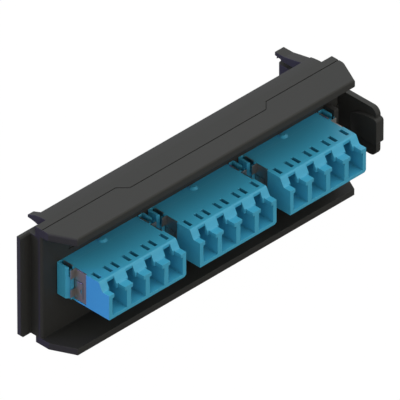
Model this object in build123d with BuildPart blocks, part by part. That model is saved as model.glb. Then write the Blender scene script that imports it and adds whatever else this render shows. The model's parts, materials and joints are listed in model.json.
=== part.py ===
"""Fibre adapter plate: a moulded frame that carries three quad-port fibre adapters.

All sizes are in millimetres. X runs along the plate, -Y is the front and +Z is up.
The origin is half way along the plate, in the plane of the wall's front face, on the
underside of the bottom shelf.
"""

import os
from math import cos, pi

from build123d import *

os.makedirs("parts", exist_ok=True)

# Frame: wall, visor and shelf
frame_height = 33.75
wall_thickness = 2.0
overhang = 9.0
visor_thickness = 2.3
shelf_thickness = 1.8
corner_cut_length = 3.2
corner_cut_depth = 6.6
visor_edge_radius = 0.5
wall_edge_ease = 0.5

# Frame: line engraved on the visor, stepping forward to leave a middle field
line_width = 0.3
line_depth = 0.2
line_setback = 0.3
line_step = 2.35
field_width = 46.0

# Frame: rear lip along the top, with a hook tab at its left end
lip_end_margin = 3.5
lip_reach = 3.6
lip_fall = 0.4
lip_edge = 0.7
lip_root = 3.4
hook_width = 1.9
hook_reach = 6.1
hook_fall = 1.4
hook_root = 4.2

# Frame: slot at the left end that slides onto the edge of a chassis sheet
sheet_slot = 1.75
flange_reach = 3.3
flange_tail = 3.5
flange_thickness = 1.2
flange_top = 31.0
flange_corner = 0.7
flange_bevel = 0.4
flange_web = 1.5

# Frame: arm and hinge bracket behind the right end
arm_reach = 12.8
arm_width = 3.0
arm_gap = 0.1
arm_flat = 0.4
arm_slope = 9.2
arm_fall = 1.9
arm_tip = 1.0
arm_depth = 3.5
arm_tip_length = 0.6
arm_notch_radius = 0.8
arm_notch_setback = 1.4
leg_reach = 12.1
leg_bottom = 5.3
leg_top = 28.95
leg_corner_radius = 1.2
leg_relief_depth = 1.2
leg_relief_length = 3.0
leg_relief_margin = 1.0

# Frame: recess above each adapter, and the guard rib beside the last one
recess_width = 20.7
recess_bottom = 23.4
recess_depth = 0.25
guard_rib_width = 1.4
guard_rib_depth = 3.6
guard_rib_top = 22.7
guard_rib_gap = 0.25

# Adapters: port grid
adapter_count = 3
adapter_gap = 4.7
adapter_bottom = 12.15
port_count = 4
port_pitch = 6.25
port_width = 4.85
port_height = 5.05
port_floor = 0.9
side_wall = 1.1

# Adapters: housing
adapter_height = 9.3
half_depth = 14.05
top_wall = 1.05
mid_wall = 1.5
nose_length = 2.0
nose_height = 7.0
shoulder_run = 1.7
shoulder_steps = 6
shoulder_depth = 3.3
mouth_depth = 2.3
mouth_width = 3.65
key_slot_width = 2.45
window_length = 2.8
window_width = 1.0
window_setback = 6.0
nose_chamfer = 0.5

# Adapters: flange ears that seat on the wall
ear_depth = 4.3
ear_width = 1.6
ear_lift = 0.6
ear_rise = 0.95
ear_radius = 0.35
ear_bridge = 0.55
ear_slot_length = 2.0
ear_slot_width = 0.5
ear_slot_inset = 0.2
ear_slot_depth = 0.6
boss_diameter = 2.4
boss_height = 0.5
boss_draft = 50
cutout_side_clearance = 0.5
cutout_height_clearance = 0.3

# Adapters: sleeve barrels and split sleeves
sleeve_diameter = 1.62
sleeve_bore = 1.25
sleeve_length = 6.8
sleeve_slit = 0.25
sleeve_clearance = 0.04
sleeve_end_play = 0.05
barrel_wall = 0.6
barrel_lip = 0.45
barrel_lip_step = 0.18
fine_sides = 16

# Adapters: spring clips in the sides
clip_thickness = 0.3
clip_recess = 0.4
clip_margin = 0.1
wing_length = 3.85
wing_bottom = 12.7
neck_bottom = 12.9
neck_top = 20.7
neck_gap = 0.15
neck_riser = 1.0
tab_bottom = 13.6
tab_top = 18.1
front_tab_end = 1.2
front_tab_slit = 0.25
tab_hole_length = 0.5
tab_hole_height = 2.0
tab_hole_rise = 0.9
tab_hole_margin = 0.3
rear_tab_root = 0.3
rear_tab_rise = 1.1
rear_tab_gap = 0.15
lug_reach = 1.4
upper_lug_bottom = 19.0
lower_lug_top = 15.8

# Latch lever and its hinge at the right end
lever_thickness = 1.5
lever_gap = 2.4
lever_front = 10.75
lever_bottom = 9.15
lever_top = 23.05
lever_corner_radius = 2.0
pad_front = 11.75
pad_bottom = 13.4
pad_top = 20.7
pad_top_flat = 1.85
pad_top_fall = 2.7
pad_rise = 1.0
pad_back = 2.0
pad_flat_back = 6.5
pad_corner_radius = 0.9
pin_diameter = 2.0
pin_overhang = 0.4
pin_setback = 11.0
knuckle_radius = 1.9
knuckle_height = 3.4
knuckle_gap = 0.3
hinge_clearance = 0.05
ear_plate = 1.8
ear_gap = 0.2
catch_height = 1.0
catch_flat = 0.6
catch_ramp = 3.4
catch_width = 7.0

# Latch spring, a leaf bent into a U between the bracket and the lever
spring_thickness = 0.25
spring_width = 4.0
spring_gap = 0.2

# Places that follow from the sizes above
wall_back = wall_thickness
lip_back = wall_back + lip_reach
half_ear = ear_depth / 2
adapter_front = half_ear + half_depth
adapter_top = adapter_bottom + adapter_height
divider = port_pitch - port_width
half_width = (port_count * port_pitch - divider) / 2 + side_wall
adapter_width = 2 * half_width
adapter_pitch = adapter_width + adapter_gap
adapter_centres = [
    adapter_pitch * (number - (adapter_count - 1) / 2) for number in range(adapter_count)
]
end_margin = lip_end_margin + arm_width + arm_gap
half_length = adapter_centres[-1] + half_width + end_margin
frame_length = 2 * half_length
cavity_top = adapter_bottom + port_floor + port_height
port_axis = adapter_bottom + port_floor + port_height / 2
channel_top = adapter_top - top_wall
cavity_end = half_ear + mid_wall
shoulder_back = adapter_front - shoulder_depth
window_offset = (port_width - window_width) / 2
bore_diameter = sleeve_diameter + 2 * sleeve_clearance
bore_depth = sleeve_length / 2 + sleeve_end_play
barrel_end = half_ear + bore_depth + barrel_lip
barrel_diameter = bore_diameter + 2 * barrel_wall
cutout_width = adapter_width + 2 * cutout_side_clearance
cutout_height = adapter_height + 2 * cutout_height_clearance
cutout_centre = adapter_bottom + adapter_height / 2
arm_left = half_length - lip_end_margin - arm_width
leg_right = arm_left + arm_width
pin_x = leg_right + knuckle_gap + knuckle_radius
pin_y = pin_setback
lever_inner = half_length + lever_gap
lever_outer = lever_inner + lever_thickness
spring_bottom = (lever_bottom + lever_top - spring_width) / 2
spring_front = wall_back + spring_gap
spring_left = leg_right - spring_thickness
bend_radius = (lever_inner - spring_left) / 2
bend_x = spring_left + bend_radius
bend_y = pin_y - knuckle_radius - spring_gap - bend_radius
port_places = [port_pitch * (number - (port_count - 1) / 2) for number in range(port_count)]


def cut_corner_plan(height):
    """Plan of the visor and of the shelf: a long strip with both front corners cut."""
    with BuildSketch(Plane.XY.offset(height)) as plan:
        with BuildLine():
            Polyline(
                (-half_length, wall_back),
                (half_length, wall_back),
                (half_length, corner_cut_depth - overhang),
                (half_length - corner_cut_length, -overhang),
                (corner_cut_length - half_length, -overhang),
                (-half_length, corner_cut_depth - overhang),
                close=True,
            )
        make_face()
    return plan.sketch


with BuildPart() as plate_frame:
    # Visor, with its front edges eased before anything joins it
    extrude(cut_corner_plan(frame_height - visor_thickness), amount=visor_thickness)
    front_edges = [
        edge
        for edge in plate_frame.edges().filter_by(Plane.XY)
        if edge.center().Y < corner_cut_depth - overhang
    ]
    fillet(front_edges, radius=visor_edge_radius)
    # Shelf and upright wall
    extrude(cut_corner_plan(0), amount=shelf_thickness)
    with BuildSketch(Plane.XY):
        with Locations((0, wall_back / 2)):
            Rectangle(frame_length, wall_thickness)
    extrude(amount=frame_height)
    with BuildSketch(Plane.XY.offset(shelf_thickness)):
        with BuildLine():
            Polyline(
                (-half_length, 0),
                (wall_edge_ease - half_length, 0),
                (-half_length, wall_edge_ease),
                close=True,
            )
        make_face()
    extrude(amount=frame_height - visor_thickness - shelf_thickness, mode=Mode.SUBTRACT)
    # Rear lip along the top, hollowed below
    with BuildSketch(Plane.YZ.offset(lip_end_margin - half_length)):
        with BuildLine():
            TangentArc(
                (wall_back, frame_height),
                (lip_back, frame_height - lip_fall),
                tangent=(1, 0),
            )
            Line((lip_back, frame_height - lip_fall), (lip_back, frame_height - lip_fall - lip_edge))
            TangentArc(
                (lip_back, frame_height - lip_fall - lip_edge),
                (wall_back, frame_height - lip_root),
                tangent=(-1, 0),
            )
            Line((wall_back, frame_height - lip_root), (wall_back, frame_height))
        make_face()
    extrude(amount=frame_length - 2 * lip_end_margin)
    # Hook tab at the left end of the lip
    hook_tip = wall_back + hook_reach
    with BuildSketch(Plane.YZ.offset(lip_end_margin - half_length)):
        with BuildLine():
            Polyline(
                (wall_back, frame_height - hook_root),
                (wall_back, frame_height - lip_fall),
                (lip_back, frame_height - lip_fall),
                (hook_tip, frame_height - hook_fall),
                (hook_tip, frame_height - hook_fall - lip_edge),
            )
            TangentArc(
                (hook_tip, frame_height - hook_fall - lip_edge),
                (wall_back, frame_height - hook_root),
                tangent=(-1, 0),
            )
        make_face()
    extrude(amount=hook_width)
    # Arm at the right end, with a round notch under its tip
    arm_tip_y = wall_back + arm_reach
    with BuildSketch(Plane.YZ.offset(arm_left)):
        with BuildLine():
            Polyline(
                (wall_back, frame_height - arm_depth),
                (wall_back, frame_height),
                (wall_back + arm_flat, frame_height),
                (wall_back + arm_flat + arm_slope, frame_height - arm_fall),
                (arm_tip_y, frame_height - arm_fall),
                (arm_tip_y, frame_height - arm_fall - arm_tip),
                (arm_tip_y - arm_tip_length, frame_height - arm_fall - arm_tip),
                (arm_tip_y - arm_tip_length, frame_height - arm_depth),
                close=True,
            )
        make_face()
        with Locations((arm_tip_y - arm_notch_setback, frame_height - arm_depth - arm_notch_radius / 2)):
            Circle(arm_notch_radius, mode=Mode.SUBTRACT)
    extrude(amount=arm_width)
    # Bracket leg below the arm, with rounded rear corners
    with BuildSketch(Plane.XY.offset(leg_bottom)) as leg_plan:
        with Locations((arm_left + arm_width / 2, wall_back + leg_reach / 2)):
            Rectangle(arm_width, leg_reach)
        fillet(leg_plan.vertices().group_by(Axis.Y)[-1], radius=leg_corner_radius)
    extrude(amount=leg_top - leg_bottom)
    # Relief at the root of the leg, for the locking tab of the last adapter's clip
    with BuildSketch(Plane.XY.offset(tab_bottom - leg_relief_margin)):
        with Locations((arm_left + leg_relief_depth / 2, wall_back + leg_relief_length / 2)):
            Rectangle(leg_relief_depth, leg_relief_length)
    extrude(amount=tab_top - tab_bottom + 2 * leg_relief_margin, mode=Mode.SUBTRACT)
    # Pocket on the leg's other face, which keeps the fixed end of the leaf spring in place
    pocket_back = bend_y + bend_radius / 2
    with BuildSketch(Plane.XY.offset(spring_bottom - spring_gap)):
        with Locations((spring_left + spring_thickness / 2, (wall_back + pocket_back) / 2)):
            Rectangle(spring_thickness, pocket_back - wall_back)
    extrude(amount=spring_width + 2 * spring_gap, mode=Mode.SUBTRACT)
    # Bracket ears that hold the hinge pin above and below the lever
    for ear_base in (lever_bottom - ear_gap - ear_plate, lever_top + ear_gap):
        with BuildSketch(Plane.XY.offset(ear_base)):
            with Locations((pin_x, pin_y)):
                Circle(knuckle_radius)
            with Locations(((leg_right + pin_x) / 2, pin_y)):
                Rectangle(pin_x - leg_right, 2 * knuckle_radius)
            with Locations((pin_x, pin_y)):
                Circle(pin_diameter / 2, mode=Mode.SUBTRACT)
        extrude(amount=ear_plate)
    # Flange at the left end, set back by the slot and joined by a web
    flange_y = wall_back + sheet_slot
    flange_left = -half_length - flange_reach
    flange_right = flange_tail - half_length
    with BuildSketch(Plane.XZ.offset(-flange_y)) as flange_face:
        with Locations(((flange_left + flange_right) / 2, (shelf_thickness + flange_top) / 2)):
            Rectangle(flange_right - flange_left, flange_top - shelf_thickness)
        outer_corners = flange_face.vertices().group_by(Axis.X)[0]
        chamfer(outer_corners.sort_by(Axis.Z)[0], length=flange_corner)
    extrude(amount=-flange_thickness)
    with BuildSketch(Plane.XY.offset(shelf_thickness)):
        with Locations((flange_web / 2 - half_length, wall_back + sheet_slot / 2)):
            Rectangle(flange_web, sheet_slot)
    extrude(amount=flange_top - shelf_thickness)
    # Bevel along the top of the flange, which leads the sheet into the slot
    with BuildSketch(Plane.YZ.offset(flange_left)):
        with BuildLine():
            Polyline(
                (flange_y, flange_top),
                (flange_y + flange_bevel, flange_top),
                (flange_y, flange_top - flange_bevel),
                close=True,
            )
        make_face()
    extrude(amount=flange_reach, mode=Mode.SUBTRACT)
    # Guard rib in front of the wall, beside the last adapter
    guard_rib_left = adapter_centres[-1] + half_width + ear_width + guard_rib_gap
    with BuildSketch(Plane.XY):
        with Locations((guard_rib_left + guard_rib_width / 2, -guard_rib_depth / 2)):
            Rectangle(guard_rib_width, guard_rib_depth)
    extrude(amount=guard_rib_top)
    # Openings for the adapters, and a shallow recess above each
    with BuildSketch(Plane.XZ):
        with Locations([(centre, cutout_centre) for centre in adapter_centres]):
            Rectangle(cutout_width, cutout_height)
    extrude(amount=-wall_thickness, mode=Mode.SUBTRACT)
    recess_top = frame_height - visor_thickness
    with BuildSketch(Plane.XZ):
        with Locations([(centre, (recess_bottom + recess_top) / 2) for centre in adapter_centres]):
            Rectangle(recess_width, recess_top - recess_bottom)
    extrude(amount=-recess_depth, mode=Mode.SUBTRACT)
    # Thin engraved line along the visor
    line_back = -line_setback
    line_front = line_back - line_step
    with BuildSketch(Plane.XY.offset(frame_height)):
        with BuildLine():
            Polyline(
                (-half_length, line_back),
                (-field_width / 2 - line_step, line_back),
                (-field_width / 2, line_front),
                (field_width / 2, line_front),
                (field_width / 2 + line_step, line_back),
                (half_length, line_back),
            )
        trace(line_width=line_width)
    extrude(amount=-line_depth, mode=Mode.SUBTRACT)

plate_frame.part.label = "plate_frame"
export_step(plate_frame.part, "parts/plate_frame.step")

with BuildPart() as front_housing:
    # Body, from its side profile: flat nose, S-shaped shoulder in short facets and flat top
    nose_top = adapter_bottom + nose_height
    nose_back = nose_length - adapter_front
    shoulder_rise = adapter_top - nose_top
    shoulder_points = []
    for step in range(shoulder_steps + 1):
        share = step / shoulder_steps
        turn = (1 - cos(pi * share)) / 2
        shoulder_points.append((nose_back + shoulder_run * share, nose_top + shoulder_rise * turn))
    with BuildSketch(Plane.YZ.offset(-half_width)):
        with BuildLine():
            Polyline(
                *shoulder_points,
                (-half_ear, adapter_top),
                (-half_ear, adapter_bottom),
                (-adapter_front, adapter_bottom),
                (-adapter_front, nose_top),
                close=True,
            )
        make_face()
    extrude(amount=adapter_width)
    # One long edge of the nose is cut off
    with BuildSketch(Plane.XZ.offset(adapter_front)):
        with BuildLine():
            Polyline(
                (half_width, adapter_bottom),
                (half_width, adapter_bottom + nose_chamfer),
                (half_width - nose_chamfer, adapter_bottom),
                close=True,
            )
        make_face()
    extrude(amount=ear_depth - adapter_front, mode=Mode.SUBTRACT)
    # Flange ears, one at each side
    ear_bottom = adapter_bottom + ear_lift
    ear_top = adapter_top + ear_rise
    for side in (-1, 1):
        with BuildSketch(Plane.XY.offset(ear_bottom)) as ear_plan:
            with Locations((side * (half_width + ear_width / 2), -half_ear * 3 / 2)):
                Rectangle(ear_width, half_ear)
            front_corners = ear_plan.vertices().group_by(Axis.Y)[0]
            fillet(front_corners.sort_by(lambda corner: abs(corner.X))[-1], radius=ear_radius)
        extrude(amount=ear_top - ear_bottom)
    # Plug cavities, with the latch channel above each
    with BuildSketch(Plane.XZ.offset(adapter_front)):
        with Locations([(place, port_axis) for place in port_places]):
            Rectangle(port_width, port_height)
    extrude(amount=cavity_end - adapter_front, mode=Mode.SUBTRACT)
    with BuildSketch(Plane.XZ.offset(shoulder_back)):
        with Locations([(place, (cavity_top + channel_top) / 2) for place in port_places]):
            Rectangle(port_width, channel_top - cavity_top)
    extrude(amount=cavity_end - shoulder_back, mode=Mode.SUBTRACT)
    # Mouth between the shoulders, and the narrow slot in the top wall behind it
    with BuildSketch(Plane.XZ.offset(adapter_front)):
        with Locations([(place, (cavity_top + adapter_top) / 2) for place in port_places]):
            Rectangle(mouth_width, adapter_top - cavity_top)
    extrude(amount=-mouth_depth, mode=Mode.SUBTRACT)
    with BuildSketch(Plane.XZ.offset(adapter_front - mouth_depth)):
        with Locations([(place, (cavity_top + adapter_top) / 2) for place in port_places]):
            Rectangle(key_slot_width, adapter_top - cavity_top)
    extrude(amount=mouth_depth - shoulder_depth, mode=Mode.SUBTRACT)
    # Pairs of windows in the top wall
    window_y = window_setback - adapter_front
    with BuildSketch(Plane.XY.offset(adapter_top)):
        for place in port_places:
            with Locations((place - window_offset, window_y), (place + window_offset, window_y)):
                Rectangle(window_width, window_length)
    extrude(amount=-top_wall, mode=Mode.SUBTRACT)
    # Sleeve barrels, bored from the split face
    with BuildSketch(Plane.XZ.offset(cavity_end)):
        with Locations([(place, port_axis) for place in port_places]):
            RegularPolygon(barrel_diameter / 2, fine_sides)
    extrude(amount=barrel_end - cavity_end)
    with BuildSketch(Plane.XZ.offset(half_ear)):
        with Locations([(place, port_axis) for place in port_places]):
            RegularPolygon(bore_diameter / 2, fine_sides, major_radius=False)
    extrude(amount=bore_depth, mode=Mode.SUBTRACT)
    with BuildSketch(Plane.XZ.offset(half_ear)):
        with Locations([(place, port_axis) for place in port_places]):
            RegularPolygon(bore_diameter / 2 - barrel_lip_step, fine_sides, major_radius=False)
    extrude(amount=barrel_end - half_ear, mode=Mode.SUBTRACT)
    # Side recesses for the spring clips: a wing, a neck behind the ear and a slot above it
    wing_end = ear_depth + neck_gap + wing_length
    recess_middle = (adapter_top + wing_bottom - clip_margin) / 2
    for side in (-1, 1):
        with BuildSketch(Plane.YZ.offset(side * half_width)):
            with Locations((-(ear_depth + wing_end + clip_margin) / 2, recess_middle)):
                Rectangle(wing_end + clip_margin - ear_depth, adapter_top - wing_bottom + clip_margin)
            with Locations((-(half_ear + ear_depth) / 2, (neck_bottom + neck_top) / 2)):
                Rectangle(half_ear, neck_top - neck_bottom + 2 * clip_margin)
            with Locations((-(ear_depth - ear_bridge + half_ear) / 2, (neck_top + ear_top) / 2)):
                Rectangle(half_ear - ear_bridge, ear_top - neck_top)
        extrude(amount=-side * clip_recess, mode=Mode.SUBTRACT)
    # Short slot in the top of each ear, shared with the other half
    slot_x = half_width + ear_width - ear_slot_inset - ear_slot_width / 2
    with BuildSketch(Plane.XY.offset(ear_top)):
        with Locations([(side * slot_x, -half_ear - ear_slot_length / 4) for side in (-1, 1)]):
            Rectangle(ear_slot_width, ear_slot_length / 2)
    extrude(amount=-ear_slot_depth, mode=Mode.SUBTRACT)

with BuildPart() as rear_housing:
    # The other half is the same moulding mirrored in the split face
    add(mirror(front_housing.part, about=Plane.XZ.offset(half_ear), mode=Mode.PRIVATE))
    # Low round boss on the top, with a sloping side
    with BuildSketch(Plane.XY.offset(adapter_top)):
        with Locations((0, boss_diameter / 2 - half_ear)):
            RegularPolygon(boss_diameter / 2, fine_sides)
    extrude(amount=boss_height, taper=boss_draft)

with BuildPart() as clip_right:
    # Flat spring plate: two wings joined by a neck, whose riser shows beside the ears
    clip_face = half_width - clip_recess
    wing_start = ear_depth + neck_gap
    with BuildSketch(Plane.YZ.offset(clip_face)):
        with Locations((-half_ear, (neck_bottom + neck_top) / 2)):
            Rectangle(ear_depth + 2 * neck_gap, neck_top - neck_bottom)
        with Locations((-half_ear, neck_top + neck_riser / 2)):
            Rectangle(ear_depth - 2 * (ear_bridge + clip_margin), neck_riser)
        for direction in (-1, 1):
            wing_middle = -half_ear + direction * (wing_start + wing_end - ear_depth) / 2
            with Locations((wing_middle, (wing_bottom + adapter_top) / 2)):
                Rectangle(wing_length, adapter_top - wing_bottom)
        # Window behind the rear tab
        rear_root = wing_end - ear_depth - rear_tab_root
        rear_tip = wall_back + rear_tab_gap
        with Locations(((rear_root + rear_tip) / 2, (tab_bottom + tab_top) / 2)):
            Rectangle(rear_root - rear_tip, tab_top - tab_bottom, mode=Mode.SUBTRACT)
        # Slit along the top and the end of the flat front tab
        tab_end = front_tab_end - wing_end
        with BuildLine():
            Polyline(
                (-wing_start, tab_top),
                (tab_end, tab_top),
                (tab_end, tab_bottom),
                (tab_end - front_tab_slit, tab_bottom),
                (tab_end - front_tab_slit, tab_top + front_tab_slit),
                (-wing_start, tab_top + front_tab_slit),
                close=True,
            )
        make_face(mode=Mode.SUBTRACT)
        # Half-round hole in the front tab
        hole_start = tab_end + tab_hole_margin
        hole_bottom = tab_bottom + tab_hole_rise
        with BuildLine():
            Polyline(
                (hole_start, hole_bottom),
                (hole_start + tab_hole_length, hole_bottom + tab_hole_height / 3),
                (hole_start + tab_hole_length, hole_bottom + tab_hole_height * 2 / 3),
                (hole_start, hole_bottom + tab_hole_height),
                close=True,
            )
        make_face(mode=Mode.SUBTRACT)
    extrude(amount=clip_thickness)
    # Rear tab, bent outward behind the wall
    with BuildSketch(Plane.XY.offset(tab_bottom)):
        with BuildLine():
            Polyline(
                (clip_face, rear_root),
                (clip_face + clip_thickness, rear_root),
                (clip_face + clip_thickness + rear_tab_rise, rear_tip),
                (clip_face + rear_tab_rise, rear_tip),
                close=True,
            )
        make_face()
    extrude(amount=tab_top - tab_bottom)
    # Lugs turned outward in front of the ear, one above the slit and one beside the tab
    lug_end = half_width + lug_reach
    with BuildSketch(Plane.XZ.offset(wing_start)):
        for lug_bottom, lug_top in ((upper_lug_bottom, adapter_top), (tab_bottom, lower_lug_top)):
            with Locations(((clip_face + lug_end) / 2, (lug_bottom + lug_top) / 2)):
                Rectangle(lug_end - clip_face, lug_top - lug_bottom)
    extrude(amount=clip_thickness)

with BuildPart() as clip_left:
    add(mirror(clip_right.part, about=Plane.YZ, mode=Mode.PRIVATE))

with BuildPart() as sleeve:
    # Ceramic tube with one slit along it, centred on the split face
    with BuildSketch(Plane.XZ.offset(half_ear + sleeve_length / 2)):
        RegularPolygon(sleeve_diameter / 2, fine_sides)
        RegularPolygon(sleeve_bore / 2, fine_sides, major_radius=False, mode=Mode.SUBTRACT)
        with Locations((0, sleeve_diameter / 2)):
            Rectangle(sleeve_slit, sleeve_diameter, mode=Mode.SUBTRACT)
    extrude(amount=-sleeve_length)

# Each adapter is the same set of eight pieces
adapter_pieces = {
    "front_housing": (front_housing, 0, 0),
    "rear_housing": (rear_housing, 0, 0),
    "clip_left": (clip_left, 0, 0),
    "clip_right": (clip_right, 0, 0),
}
for number, place in enumerate(port_places, start=1):
    adapter_pieces[f"sleeve_{number}"] = (sleeve, place, port_axis)

for number, centre in enumerate(adapter_centres, start=1):
    for piece_name, (piece, shift, height) in adapter_pieces.items():
        placed = piece.part.moved(Location((centre + shift, 0, height)))
        placed.label = f"adapter_{number}_{piece_name}"
        export_step(placed, f"parts/{placed.label}.step")

with BuildPart() as latch_lever:
    # Side plate, rounded at its front corners
    lever_back = pin_y + knuckle_radius
    with BuildSketch(Plane.YZ.offset(lever_inner)) as lever_face:
        with Locations(((lever_back - lever_front) / 2, (lever_bottom + lever_top) / 2)):
            Rectangle(lever_back + lever_front, lever_top - lever_bottom)
        fillet(lever_face.vertices().group_by(Axis.X)[0], radius=lever_corner_radius)
    extrude(amount=lever_thickness)
    # Finger pad, thickened inward and rising from a faded back edge
    with BuildSketch(Plane.XY.offset(pad_bottom)):
        with BuildLine():
            Polyline(
                (lever_inner, -pad_back),
                (lever_outer, -pad_back),
                (lever_outer, -pad_front),
                (lever_inner - pad_rise, -pad_front),
                (lever_inner - pad_rise, -pad_flat_back),
            )
            TangentArc(
                (lever_inner - pad_rise, -pad_flat_back),
                (lever_inner, -pad_back),
                tangent=(0, 1),
            )
        make_face()
    extrude(amount=pad_top - pad_bottom)
    pad_corners = latch_lever.edges().filter_by(Axis.X).group_by(Axis.Y)[0]
    fillet(pad_corners, radius=pad_corner_radius)
    # The pad's upper edge falls away in a curve towards its back
    with BuildSketch(Plane.YZ.offset(lever_inner - pad_rise)):
        with BuildLine():
            TangentArc(
                (pad_top_flat - pad_front, pad_top),
                (-pad_back, pad_top - pad_top_fall),
                tangent=(1, 0),
            )
            Polyline(
                (-pad_back, pad_top - pad_top_fall),
                (-pad_back, pad_top),
                (pad_top_flat - pad_front, pad_top),
            )
        make_face()
    extrude(amount=pad_rise, mode=Mode.SUBTRACT)
    # Two knuckles round the pin
    for base in (lever_bottom, lever_top - knuckle_height):
        with BuildSketch(Plane.XY.offset(base)):
            with Locations((pin_x, pin_y)):
                Circle(knuckle_radius)
            with Locations(((pin_x + lever_inner) / 2, pin_y)):
                Rectangle(lever_inner - pin_x, 2 * knuckle_radius)
            with Locations((pin_x, pin_y)):
                Circle(pin_diameter / 2 + hinge_clearance, mode=Mode.SUBTRACT)
        extrude(amount=knuckle_height)
    # Catch on the outer face: its step faces forward, behind the chassis sheet
    catch_step = wall_back + sheet_slot
    with BuildSketch(Plane.XY.offset((lever_bottom + lever_top - catch_width) / 2)):
        with BuildLine():
            Polyline(
                (lever_outer, catch_step),
                (lever_outer + catch_height, catch_step),
                (lever_outer + catch_height, catch_step + catch_flat),
                (lever_outer, catch_step + catch_flat + catch_ramp),
                close=True,
            )
        make_face()
    extrude(amount=catch_width)

latch_lever.part.label = "latch_lever"
export_step(latch_lever.part, "parts/latch_lever.step")

with BuildPart() as latch_pin:
    pin_bottom = lever_bottom - ear_gap - ear_plate - pin_overhang
    pin_top = lever_top + ear_gap + ear_plate + pin_overhang
    with BuildSketch(Plane.XY.offset(pin_bottom)):
        with Locations((pin_x, pin_y)):
            Circle(pin_diameter / 2)
    extrude(amount=pin_top - pin_bottom)

latch_pin.part.label = "latch_pin"
export_step(latch_pin.part, "parts/latch_pin.step")

with BuildPart() as latch_spring:
    # Leaf: one end lies in the leg's pocket, the other bears on the lever
    with BuildSketch(Plane.XY.offset(spring_bottom)):
        with BuildLine():
            ThreePointArc(
                (spring_left, bend_y),
                (bend_x, bend_y + bend_radius),
                (lever_inner, bend_y),
            )
            Polyline(
                (lever_inner, bend_y),
                (lever_inner, spring_front),
                (lever_inner - spring_thickness, spring_front),
                (lever_inner - spring_thickness, bend_y),
            )
            ThreePointArc(
                (lever_inner - spring_thickness, bend_y),
                (bend_x, bend_y + bend_radius - spring_thickness),
                (spring_left + spring_thickness, bend_y),
            )
            Polyline(
                (spring_left + spring_thickness, bend_y),
                (spring_left + spring_thickness, spring_front),
                (spring_left, spring_front),
                (spring_left, bend_y),
            )
        make_face()
    extrude(amount=spring_width)

latch_spring.part.label = "latch_spring"
export_step(latch_spring.part, "parts/latch_spring.step")
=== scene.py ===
# %% [markdown]
# A fibre adapter plate
# This lesson dresses a small moulded plate that holds three aqua fibre adapters.
# The plate, its latch lever and the adapters come as exact solids from the frame. Nearly
# all of them are already the right shape, so most of the work is in their surfaces: soft
# moulded edges, fine grain in the black plastic and rolled steel in the clips. The ears
# beside the adapters are shaped further at the end, and the latch's leaf spring is copied.

# %% Load the frame and keep its box
import json
import math

import bpy
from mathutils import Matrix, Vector


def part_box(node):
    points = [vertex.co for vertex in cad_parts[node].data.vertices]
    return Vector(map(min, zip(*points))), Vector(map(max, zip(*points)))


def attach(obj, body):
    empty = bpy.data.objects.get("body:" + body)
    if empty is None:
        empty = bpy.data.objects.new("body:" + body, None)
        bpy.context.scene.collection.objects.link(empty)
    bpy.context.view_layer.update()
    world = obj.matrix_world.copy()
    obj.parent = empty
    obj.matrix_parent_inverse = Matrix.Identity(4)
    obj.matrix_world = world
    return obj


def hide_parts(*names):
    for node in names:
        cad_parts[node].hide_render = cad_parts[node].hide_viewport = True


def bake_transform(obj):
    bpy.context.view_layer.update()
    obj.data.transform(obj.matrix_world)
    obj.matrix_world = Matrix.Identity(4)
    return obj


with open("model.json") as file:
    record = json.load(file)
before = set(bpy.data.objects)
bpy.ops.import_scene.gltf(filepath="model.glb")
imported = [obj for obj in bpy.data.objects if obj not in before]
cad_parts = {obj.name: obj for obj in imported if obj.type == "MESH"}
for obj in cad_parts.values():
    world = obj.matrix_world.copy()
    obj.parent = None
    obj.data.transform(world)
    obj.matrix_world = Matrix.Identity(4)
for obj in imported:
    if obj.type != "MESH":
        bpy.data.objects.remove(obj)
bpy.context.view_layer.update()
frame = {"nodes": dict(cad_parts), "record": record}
bpy.ops.object.select_all(action="DESELECT")
MM = 0.001
print("nodes:", len(frame["nodes"]))

# %% [markdown]
# The camera
# The picture is a parallel view along a cube's diagonal, from the front left. A very
# long lens does nearly the same and still works when the view is turned, so the lens
# is 1660 mm and the camera stands over four metres away.

# %% Camera at the picture's angle
view_azimuth = math.radians(45)
view_elevation = math.atan(1 / math.sqrt(2))
aim_point = Vector((0.0, -3.24, 19.0)) * MM
framed_width = 95.55 * MM
lens_length = 1660.0
sensor_width = 36.0

toward_camera = Vector((
    -math.cos(view_elevation) * math.sin(view_azimuth),
    -math.cos(view_elevation) * math.cos(view_azimuth),
    math.sin(view_elevation),
))
camera_distance = framed_width * lens_length / sensor_width
bpy.ops.object.camera_add(location=aim_point + toward_camera * camera_distance)
camera = bpy.context.object
camera.name = "picture_camera"
camera.rotation_euler = (-toward_camera).to_track_quat("-Z", "Y").to_euler()
camera.data.lens = lens_length
camera.data.sensor_width = sensor_width
bpy.context.scene.camera = camera
print("camera distance:", round(camera_distance, 3))

# %% [markdown]
# Light and floor
# The plate stands on its shelf on a table that is white to the camera. A pale sky gives
# most of the light, and three broad lamps shape it: one above, a warm one in front and a
# violet one behind the left end. The camera and polished metal see a white sky. The
# table throws back little light, so the front faces stay darker than the tops.

# %% World
sky_colour = (1.0, 1.0, 0.92)
sky_strength = 0.86
white_strength = 1.0

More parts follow.
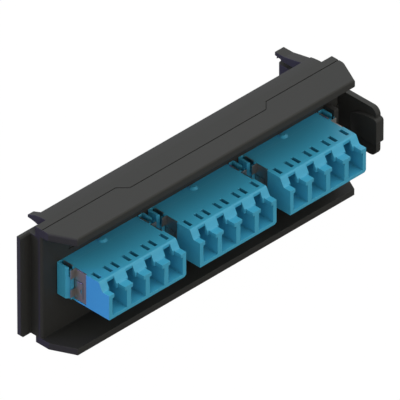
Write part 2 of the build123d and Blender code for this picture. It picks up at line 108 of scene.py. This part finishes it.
bpy.context.scene.view_settings.view_transform = "Standard"
world = bpy.data.worlds.new("studio")
bpy.context.scene.world = world
world.use_nodes = True
sky = world.node_tree
sky_light = sky.nodes["Background"]
sky_light.inputs["Color"].default_value = sky_colour + (1.0,)
sky_light.inputs["Strength"].default_value = sky_strength
sky_white = sky.nodes.new("ShaderNodeBackground")
sky_white.inputs["Strength"].default_value = white_strength
sky_path = sky.nodes.new("ShaderNodeLightPath")
sky_mix = sky.nodes.new("ShaderNodeMixShader")
seen = sky_path.outputs["Is Camera Ray"]
for ray in ("Is Glossy Ray", "Is Transmission Ray"):
    either = sky.nodes.new("ShaderNodeMath")
    either.operation = "MAXIMUM"
    sky.links.new(seen, either.inputs[0])
    sky.links.new(sky_path.outputs[ray], either.inputs[1])
    seen = either.outputs["Value"]
sky.links.new(seen, sky_mix.inputs["Fac"])
sky.links.new(sky_light.outputs["Background"], sky_mix.inputs[1])
sky.links.new(sky_white.outputs["Background"], sky_mix.inputs[2])
sky.links.new(sky_mix.outputs["Shader"], sky.nodes["World Output"].inputs["Surface"])
print("sky strength:", sky_strength)

# %% Lamps
lamp_height = 500.0 * MM


def add_lamp(name, direction, strength, colour, spread):
    """A far lamp that shines from the given direction, with soft shadows."""
    bpy.ops.object.light_add(type="SUN", location=(0, 0, lamp_height))
    lamp = bpy.context.object
    lamp.name = name
    lamp.rotation_euler = (-Vector(direction)).to_track_quat("-Z", "Y").to_euler()
    lamp.data.energy = strength
    lamp.data.color = colour
    lamp.data.angle = math.radians(spread)
    print(name, "has strength", strength)


add_lamp("lamp_above", (0.1, 0.4, 1.0), 0.40, (0.85, 1.0, 1.0), 50)
add_lamp("lamp_front", (-0.35, -1.0, 0.3), 0.36, (1.0, 0.85, 0.65), 60)
add_lamp("lamp_left", (-1.0, 0.85, 0.12), 1.45, (0.24, 0.12, 1.0), 10)

# %% Floor
floor_size = 6000.0 * MM
floor_drop = 0.05 * MM
floor_grey = 0.12
floor_glow = 1.04
floor_rays = (
    ("Is Camera Ray", 0.96),
    ("Is Glossy Ray", 0.15),
    ("Is Transmission Ray", 0.15),
)

bpy.ops.object.select_all(action="DESELECT")
bpy.ops.mesh.primitive_plane_add(size=floor_size, location=(0, 0, -floor_drop))
floor = bpy.context.object
floor.name = "floor"
bpy.ops.object.transform_apply(location=True, rotation=True, scale=True)
table = bpy.data.materials.new("white_table")
table.use_nodes = True
table_nodes = table.node_tree.nodes
table_skin = table_nodes["Principled BSDF"]
table_skin.inputs["Base Color"].default_value = (floor_grey,) * 3 + (1.0,)
table_skin.inputs["Roughness"].default_value = 0.8
table_glow = table_nodes.new("ShaderNodeEmission")
table_glow.inputs["Strength"].default_value = floor_glow
table_path = table_nodes.new("ShaderNodeLightPath")
table_links = table.node_tree.links
glow_share = None
for ray, share in floor_rays:
    portion = table_nodes.new("ShaderNodeMath")
    portion.operation = "MULTIPLY_ADD"
    portion.inputs[1].default_value = share
    portion.inputs[2].default_value = 0.0
    table_links.new(table_path.outputs[ray], portion.inputs[0])
    if glow_share:
        table_links.new(glow_share, portion.inputs[2])
    glow_share = portion.outputs["Value"]
table_mix = table_nodes.new("ShaderNodeMixShader")
table_links.new(glow_share, table_mix.inputs["Fac"])
table_links.new(table_skin.outputs["BSDF"], table_mix.inputs[1])
table_links.new(table_glow.outputs["Emission"], table_mix.inputs[2])
table_links.new(table_mix.outputs["Shader"], table_nodes["Material Output"].inputs["Surface"])
floor.data.materials.append(table)
print("floor is", floor_size, "m wide")

# %% [markdown]
# A shared surface effect
# Every moulded or pressed face here gets the same things: a fine bump, a slow change
# over the part, softened edges with a painted highlight along them, and painted shade in
# the deep ports and slots. One node group gives all four. It puts out a normal, a slow
# mask, a mask along the edges for the painted highlight and a cavity mask for the painted
# shade, and each material decides what to do with them. The cavity mask looks at the
# piece's own mesh alone, so the painted shade stays when the piece moves or is shown without
# its neighbours.

# %% Node group for grain and edges
mottle_scale = 90.0
# Turn of the softened normal over which the painted highlight along edges fades in.
edge_highlight_turn = (0.99, 0.75)
# Occlusion levels over which the painted shade in cavities fades in.
cavity_shade_range = (0.75, 0.15)
group_inputs = (
    ("Grain Scale", "NodeSocketFloat", 4000.0),
    ("Grain Depth", "NodeSocketFloat", 0.00001),
    ("Edge Radius", "NodeSocketFloat", 0.0002),
    ("Cavity Reach", "NodeSocketFloat", 0.004),
    ("Stretch", "NodeSocketVector", (0.0, 0.0, 0.0)),
)
group_outputs = (
    ("Normal", "NodeSocketVector"),
    ("Mottle", "NodeSocketFloat"),
    ("Edge", "NodeSocketFloat"),
    ("Cavity", "NodeSocketFloat"),
)


def build_surface_group():
    """Grain, slow mottling, softened edges with a mask for a painted highlight, and a mask for
    painted shade in cavities, from Object coordinates.
    """
    group = bpy.data.node_groups.new("grain_and_edges", "ShaderNodeTree")
    sockets = group.interface
    for name, kind, value in group_inputs:
        socket = sockets.new_socket(name=name, in_out="INPUT", socket_type=kind)
        socket.default_value = value
    for name, kind in group_outputs:
        sockets.new_socket(name=name, in_out="OUTPUT", socket_type=kind)
    nodes = group.nodes
    join = group.links.new
    given = nodes.new("NodeGroupInput")
    result = nodes.new("NodeGroupOutput")
    place = nodes.new("ShaderNodeTexCoord")
    stretch = nodes.new("ShaderNodeMapping")
    join(place.outputs["Object"], stretch.inputs["Vector"])
    join(given.outputs["Stretch"], stretch.inputs["Scale"])
    grain = nodes.new("ShaderNodeTexNoise")
    grain.inputs["Detail"].default_value = 3.0
    grain.inputs["Roughness"].default_value = 0.6
    join(stretch.outputs["Vector"], grain.inputs["Vector"])
    join(given.outputs["Grain Scale"], grain.inputs["Scale"])
    mottle = nodes.new("ShaderNodeTexNoise")
    mottle.inputs["Scale"].default_value = mottle_scale
    mottle.inputs["Detail"].default_value = 4.0
    join(place.outputs["Object"], mottle.inputs["Vector"])
    join(mottle.outputs["Fac"], result.inputs["Mottle"])
    soften = nodes.new("ShaderNodeBevel")
    soften.samples = 6
    join(given.outputs["Edge Radius"], soften.inputs["Radius"])
    bump = nodes.new("ShaderNodeBump")
    bump.inputs["Strength"].default_value = 1.0
    join(given.outputs["Grain Depth"], bump.inputs["Distance"])
    join(grain.outputs["Fac"], bump.inputs["Height"])
    join(soften.outputs["Normal"], bump.inputs["Normal"])
    join(bump.outputs["Normal"], result.inputs["Normal"])
    # A mask for the painted highlight, where the softened normal turns away from the flat one.
    flat = nodes.new("ShaderNodeNewGeometry")
    turn = nodes.new("ShaderNodeVectorMath")
    turn.operation = "DOT_PRODUCT"
    join(soften.outputs["Normal"], turn.inputs[0])
    join(flat.outputs["Normal"], turn.inputs[1])
    edge = nodes.new("ShaderNodeMapRange")
    edge.inputs["From Min"].default_value = edge_highlight_turn[0]
    edge.inputs["From Max"].default_value = edge_highlight_turn[1]
    join(turn.outputs["Value"], edge.inputs["Value"])
    join(edge.outputs["Result"], result.inputs["Edge"])
    # Occlusion from the piece's own mesh, the mask for painted shade in cavities.
    cavity_occlusion = nodes.new("ShaderNodeAmbientOcclusion")
    cavity_occlusion.samples = 8
    cavity_occlusion.only_local = True
    join(given.outputs["Cavity Reach"], cavity_occlusion.inputs["Distance"])
    cavity = nodes.new("ShaderNodeMapRange")
    cavity.inputs["From Min"].default_value = cavity_shade_range[0]
    cavity.inputs["From Max"].default_value = cavity_shade_range[1]
    join(cavity_occlusion.outputs["AO"], cavity.inputs["Value"])
    join(cavity.outputs["Result"], result.inputs["Cavity"])
    return group


surface_group = build_surface_group()
print("surface group has", len(surface_group.nodes), "nodes")

# %% [markdown]
# Finishes
# A finish is a Principled shader fed by the shared group. Numbers that stay the same
# all over are typed on the shader itself, and only colour, roughness and normal are
# wired, because they change over the surface.

# %% One builder for all the finishes
# The colour that the painted shade in cavities tends to, as a share of the finish colour.
cavity_shade_tint = 0.2


def make_finish(
    name, colour, edge_highlight_colour, shade, roughness, grain,
    stretch=(1, 1, 1), metal=0.0, cavity=(0.004, 0.5), gloss=0.5,
):
    """A material: colour, a painted highlight along its edges, painted shade in its cavities,
    and roughness from low to high.
    """
    material = bpy.data.materials.new(name)
    material.use_nodes = True
    nodes = material.node_tree.nodes
    join = material.node_tree.links.new
    skin = nodes["Principled BSDF"]
    skin.inputs["Metallic"].default_value = metal
    skin.inputs["Specular IOR Level"].default_value = gloss
    surface = nodes.new("ShaderNodeGroup")
    surface.node_tree = surface_group
    surface.inputs["Grain Scale"].default_value = grain[0]
    surface.inputs["Grain Depth"].default_value = grain[1]
    surface.inputs["Edge Radius"].default_value = grain[2]
    surface.inputs["Stretch"].default_value = stretch
    surface.inputs["Cavity Reach"].default_value = cavity[0]
    tone = nodes.new("ShaderNodeMix")
    tone.data_type = "RGBA"
    tone.inputs["A"].default_value = tuple(c * (1 - shade) for c in colour) + (1.0,)
    tone.inputs["B"].default_value = tuple(c * (1 + shade) for c in colour) + (1.0,)
    join(surface.outputs["Mottle"], tone.inputs["Factor"])
    # Painted highlight: along every edge the colour is mixed towards the lighter highlight
    # colour.
    painted_edge_highlight = nodes.new("ShaderNodeMix")
    painted_edge_highlight.data_type = "RGBA"
    painted_edge_highlight.inputs["B"].default_value = edge_highlight_colour + (1.0,)
    join(surface.outputs["Edge"], painted_edge_highlight.inputs["Factor"])
    join(tone.outputs["Result"], painted_edge_highlight.inputs["A"])
    # Painted shade: in cavities the colour is mixed towards a darker copy of itself.
    depth = nodes.new("ShaderNodeMath")
    depth.operation = "MULTIPLY"
    depth.inputs[1].default_value = cavity[1]
    join(surface.outputs["Cavity"], depth.inputs[0])
    painted_cavity_shade = nodes.new("ShaderNodeMix")
    painted_cavity_shade.data_type = "RGBA"
    painted_cavity_shade.inputs["B"].default_value = tuple(cavity_shade_tint * c for c in colour) + (1.0,)
    join(depth.outputs["Value"], painted_cavity_shade.inputs["Factor"])
    join(painted_edge_highlight.outputs["Result"], painted_cavity_shade.inputs["A"])
    join(painted_cavity_shade.outputs["Result"], skin.inputs["Base Color"])
    sheen = nodes.new("ShaderNodeMapRange")
    sheen.inputs["To Min"].default_value = roughness[0]
    sheen.inputs["To Max"].default_value = roughness[1]
    join(surface.outputs["Mottle"], sheen.inputs["Value"])
    join(sheen.outputs["Result"], skin.inputs["Roughness"])
    join(surface.outputs["Normal"], skin.inputs["Normal"])
    return material


# %% [markdown]
# Five finishes
# The plate and the lever are moulded in the same satin black plastic, with a fine
# sparked grain and soft edges. The adapters are a smoother aqua plastic that shines a
# little more. The clips and the leaf spring are rolled sheet, so their grain is drawn
# out along one axis. The pin is drawn steel, and the sleeves are polished white ceramic.
# Each could be its own node tree, but they differ only in their values.

# %% The finishes of the plate
# Each finish's second colour is its painted highlight along edges, and the cavity numbers give
# the reach and strength of its painted shade.
black_moulding = make_finish(
    "black_moulding", (0.029, 0.029, 0.028), (0.038, 0.038, 0.037), 0.08,
    (0.5, 0.62), (2600.0, 0.000005, 0.00022), cavity=(0.012, 0.75), gloss=0.38,
)
aqua_moulding = make_finish(
    "aqua_moulding", (0.055, 0.41, 0.665), (0.090, 0.52, 0.77), 0.05,
    (0.32, 0.42), (3500.0, 0.000003, 0.00012), cavity=(0.004, 0.8),
)
spring_sheet = make_finish(
    "spring_sheet", (0.50, 0.47, 0.45), (0.7, 0.68, 0.66), 0.08,
    (0.3, 0.45), (1500.0, 0.000004, 0.00006), stretch=(4, 0.15, 4), metal=1.0,
)
drawn_steel = make_finish(
    "drawn_steel", (0.5, 0.5, 0.52), (0.7, 0.7, 0.72), 0.06,
    (0.25, 0.35), (3000.0, 0.000002, 0.00005), metal=1.0,
)
ceramic = make_finish(
    "ceramic", (0.85, 0.84, 0.80), (0.95, 0.95, 0.92), 0.02,
    (0.12, 0.18), (3000.0, 0.000001, 0.00003),
)

finish_of_slot = {
    "frame_black": black_moulding,
    "lever_black": black_moulding,
    "adapter_aqua": aqua_moulding,
    "clip_steel": spring_sheet,
    "pin_steel": drawn_steel,
    "sleeve_ceramic": ceramic,
}

# %% Give each solid its finish
slot_of_node = {entry["node"]: entry["material_slot"] for entry in frame["record"]["subparts"]}
for name, solid in frame["nodes"].items():
    finish = finish_of_slot[slot_of_node[name]]
    for slot in solid.material_slots:
        slot.material = finish
    print(name, "gets", finish.name)

# %% [markdown]
# The ears beside each adapter
# The solids give every ear one plain block. On the real moulding an ear is a thin wall
# that stands off from the adapter's side, with a gap behind it where the spring clip
# passes. The blocks could be rebuilt from new primitives, but the housing round them is
# already right, so a merged copy of each housing is kept and four small boxes are cut
# out of it with a Boolean modifier: one takes the top down, one opens the gap, one
# lowers the bridge in front of the gap, and a turned one bevels the outer corner.

# %% The cuts at an ear
# In millimetres: out from the adapter's side, along the plate's depth, and in height.
# The last number is the turn about the vertical in degrees.
ear_width = 1.6 * MM
top_cut = ((-0.3, 1.8), (-4.5, 0.2), (21.78, 23.0), 0)
gap_cut = ((-0.1, 1.0), (-3.75, -0.2), (19.0, 23.0), 0)
bridge_cut = ((0.05, 1.0), (-4.5, -3.7), (20.95, 23.0), 0)
corner_cut = ((1.04, 2.54), (-4.66, -3.16), (5.0, 23.0), 45)
ear_cuts = (top_cut, gap_cut, bridge_cut, corner_cut)
merge_distance = 0.001 * MM


def merged_copy(solid, name):
    """A copy of a carried-over solid with its loose triangles joined."""
    bpy.ops.object.select_all(action="DESELECT")
    piece = bpy.data.objects.new(name, solid.data.copy())
    bpy.context.collection.objects.link(piece)
    piece.select_set(True)
    bpy.context.view_layer.objects.active = piece
    bpy.ops.object.mode_set(mode="EDIT")
    bpy.ops.mesh.select_all(action="SELECT")
    bpy.ops.mesh.remove_doubles(threshold=merge_distance)
    bpy.ops.object.mode_set(mode="OBJECT")
    return piece


def cut_box(piece, low, high, turn):
    """Cut a box out of the piece, turned about the vertical by so many degrees.

    The box is named by its corners before the turn, and it turns about its own middle.
    """
    middle = [(a + b) / 2 for a, b in zip(low, high)]
    size = [b - a for a, b in zip(low, high)]
    bpy.ops.object.select_all(action="DESELECT")
    bpy.ops.mesh.primitive_cube_add(
        size=1.0, location=middle, scale=size, rotation=(0, 0, math.radians(turn))
    )
    cutter = bpy.context.object
    bpy.ops.object.transform_apply(location=True, rotation=True, scale=True)
    bpy.ops.object.select_all(action="DESELECT")
    piece.select_set(True)
    bpy.context.view_layer.objects.active = piece
    cut = piece.modifiers.new("cut", "BOOLEAN")
    cut.operation = "DIFFERENCE"
    cut.object = cutter
    bpy.ops.object.modifier_apply(modifier=cut.name)
    bpy.data.objects.remove(cutter, do_unlink=True)


# %% Cut the ears of every housing
for number in (1, 2, 3):
    for half in ("front", "rear"):
        node = f"adapter_{number}_{half}_housing"
        low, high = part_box(node)
        centre = (low[0] + high[0]) / 2
        side_place = (high[0] - low[0]) / 2 - ear_width
        piece = merged_copy(frame["nodes"][node], f"adapter_{number}_{half}_moulding")
        for across, along, height, turn in ear_cuts:
            for side in (-1, 1):
                spans = [centre + side * (side_place + reach * MM) for reach in across]
                cut_low = (min(spans), along[0] * MM, height[0] * MM)
                cut_high = (max(spans), along[1] * MM, height[1] * MM)
                cut_box(piece, cut_low, cut_high, turn)
        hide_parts(node)
        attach(piece, "plate")
        print(piece.name, "has", len(piece.data.polygons), "faces")

# %% [markdown]
# The leaf spring of the latch
# A thin leaf, bent into a U, stands between the bracket and the lever. It closes a
# little when the lever is pressed. The solid is stiff, so the lever would pass into it.
# A copy of it takes its place, with its loose triangles joined and its placing baked into
# the mesh; the original is hidden.

# %% A joined copy of the leaf
leaf = merged_copy(frame["nodes"]["latch_spring"], "latch_leaf")
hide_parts("latch_spring")
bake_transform(leaf)
print("leaf spring has", len(leaf.data.polygons), "faces")
